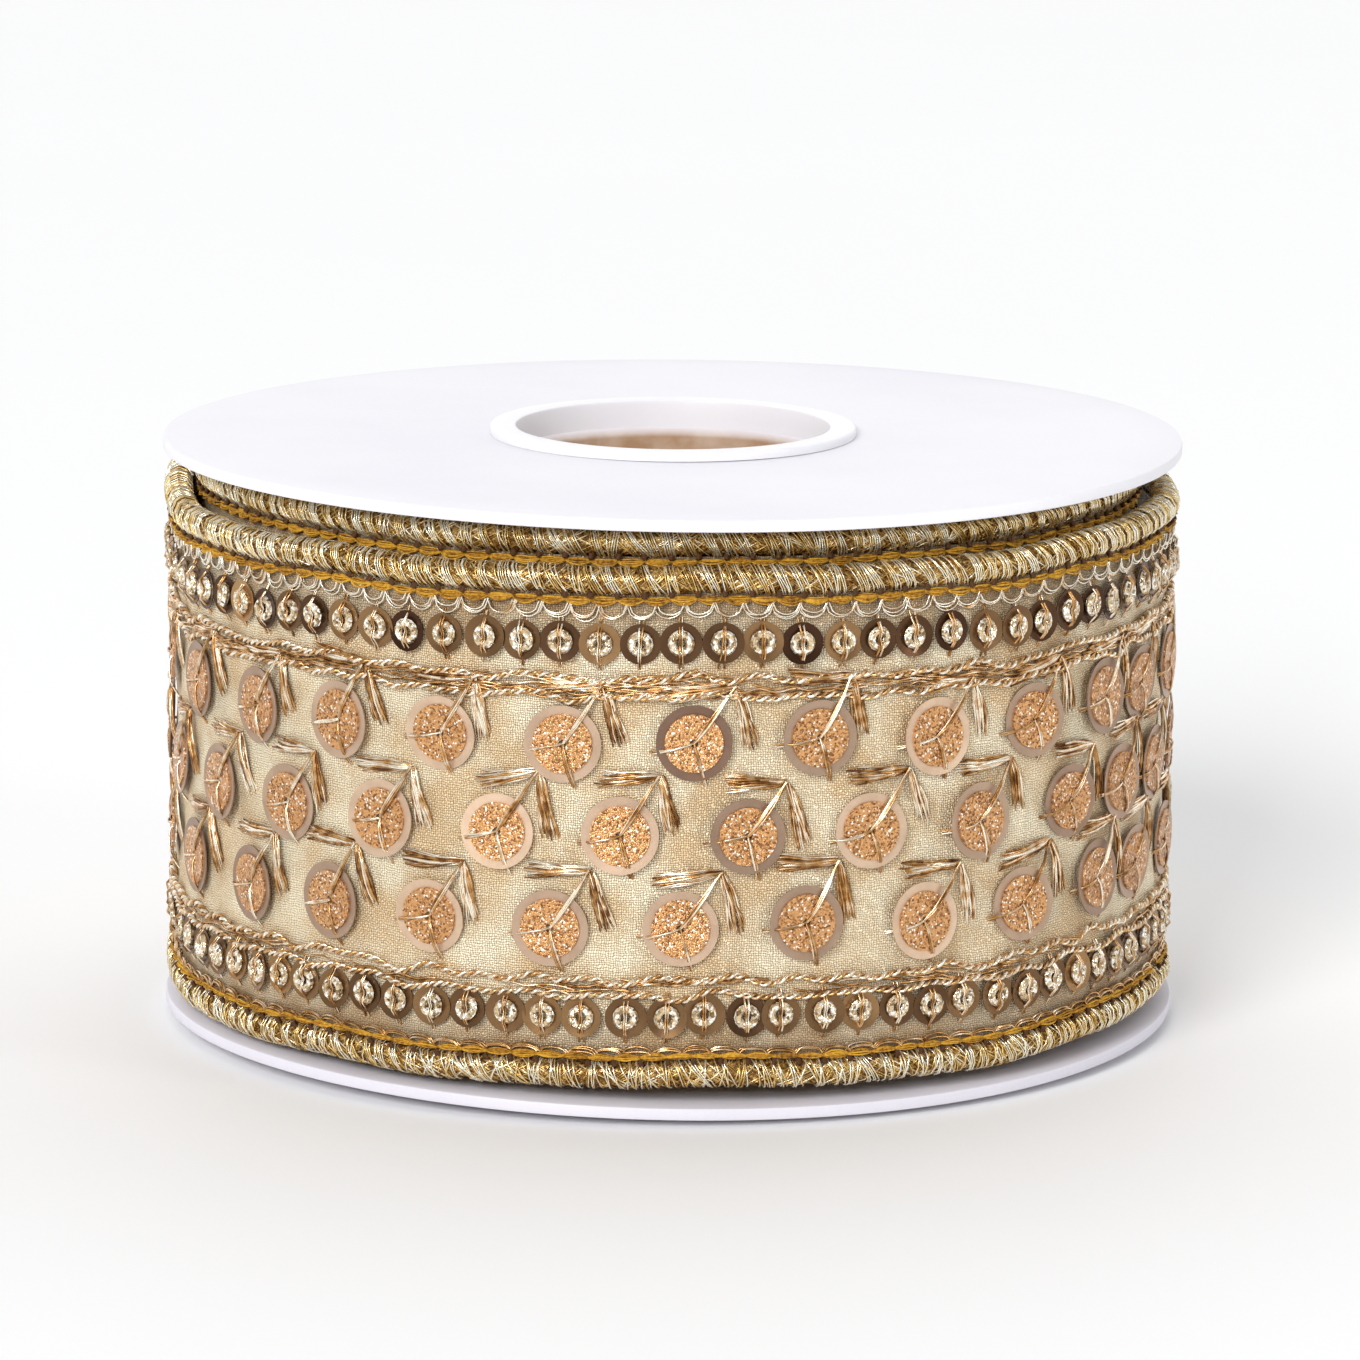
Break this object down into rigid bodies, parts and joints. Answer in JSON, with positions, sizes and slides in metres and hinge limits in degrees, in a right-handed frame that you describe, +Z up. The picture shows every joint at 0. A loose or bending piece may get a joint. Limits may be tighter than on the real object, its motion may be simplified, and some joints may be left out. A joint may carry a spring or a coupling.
{
  "type": "ribbon spool",
  "caption": "Ribbon spool: board discs turn on a two-piece hollow plastic hub wound with a corded, sequinned metallic border ribbon whose free end lifts off.",
  "frame": {"origin": "on the spool's axis at the lowest face of the lower hub collar", "axes": "+Z up the hub's bore, -Y the front, +X to the right; the ribbon's free end lies just past +X, towards +Y"},
  "size_m": [0.1, 0.1, 0.0584],
  "materials": {
    "board": "white printed paperboard, uncoated",
    "hub_plastic": "frosted translucent polypropylene",
    "foam": "double-sided foam pad",
    "tissue_cloth": "pale gold tissue ground cloth",
    "zari_cord": "thick core wrapped in champagne metallic thread",
    "zari_thread": "twisted champagne metallic thread",
    "ochre_thread": "matte ochre chain stitch",
    "bronze_sequin": "bronze metallised film",
    "crystal_bead": "clear silver-lined seed bead",
    "pale_thread": "loose pale metallic strands",
    "rose_sequin": "satin rose-gold metallised film",
    "copper_glitter": "copper-orange glitter"
  },
  "bodies": {
    "core_and_ribbon": {"lower_hub_half": "hub_plastic", "upper_hub_half": "hub_plastic", "start_pad": "foam", "winding_cloth": "tissue_cloth", "winding_upper_cord": "zari_cord", "winding_lower_cord": "zari_cord", "winding_upper_stitch": "ochre_thread", "winding_lower_stitch": "ochre_thread", "outer_cloth": "tissue_cloth", "outer_upper_cord": "zari_cord", "outer_lower_cord": "zari_cord", "outer_upper_stitch": "ochre_thread", "outer_lower_stitch": "ochre_thread", "upper_scallop_thread": "zari_thread", "lower_scallop_thread": "zari_thread", "upper_border_sequins": "bronze_sequin", "lower_border_sequins": "bronze_sequin", "upper_seed_beads": "crystal_bead", "lower_seed_beads": "crystal_bead", "bead_threads": "pale_thread", "upper_couching_braid": "zari_thread", "lower_couching_braid": "zari_thread", "upper_row_sequins": "rose_sequin", "middle_row_sequins": "rose_sequin", "lower_row_sequins": "rose_sequin", "upper_glitter_discs": "copper_glitter", "middle_glitter_discs": "copper_glitter", "lower_glitter_discs": "copper_glitter", "upper_leaf_stitches": "pale_thread", "middle_leaf_stitches": "pale_thread", "lower_leaf_stitches": "pale_thread"},
    "lower_disc": {"lower_disc": "board"},
    "upper_disc": {"upper_disc": "board"},
    "free_end": {"tail_cloth": "tissue_cloth", "tail_upper_cord": "zari_cord", "tail_lower_cord": "zari_cord", "tail_upper_stitch": "ochre_thread", "tail_lower_stitch": "ochre_thread", "tail_scallop_threads": "zari_thread", "tail_border_sequins": "bronze_sequin", "tail_seed_beads": "crystal_bead", "tail_bead_threads": "pale_thread", "tail_couching_braids": "zari_thread", "tail_row_sequins": "rose_sequin", "tail_glitter_discs": "copper_glitter", "tail_leaf_stitches": "pale_thread"}
  },
  "joints": [
    {"name": "lower_disc_turn", "type": "hinge", "parent": "core_and_ribbon", "child": "lower_disc", "pos_m": [0, 0, 0.0015], "axis": [0, 0, 1], "continuous": true},
    {"name": "upper_disc_turn", "type": "hinge", "parent": "core_and_ribbon", "child": "upper_disc", "pos_m": [0, 0, 0.0569], "axis": [0, 0, 1], "continuous": true},
    {"name": "free_end_lift", "type": "hinge", "parent": "core_and_ribbon", "child": "free_end", "pos_m": [0.05, 0, 0.02805], "axis": [0, 0, -1], "range_deg": [0, 60]}
  ]
}
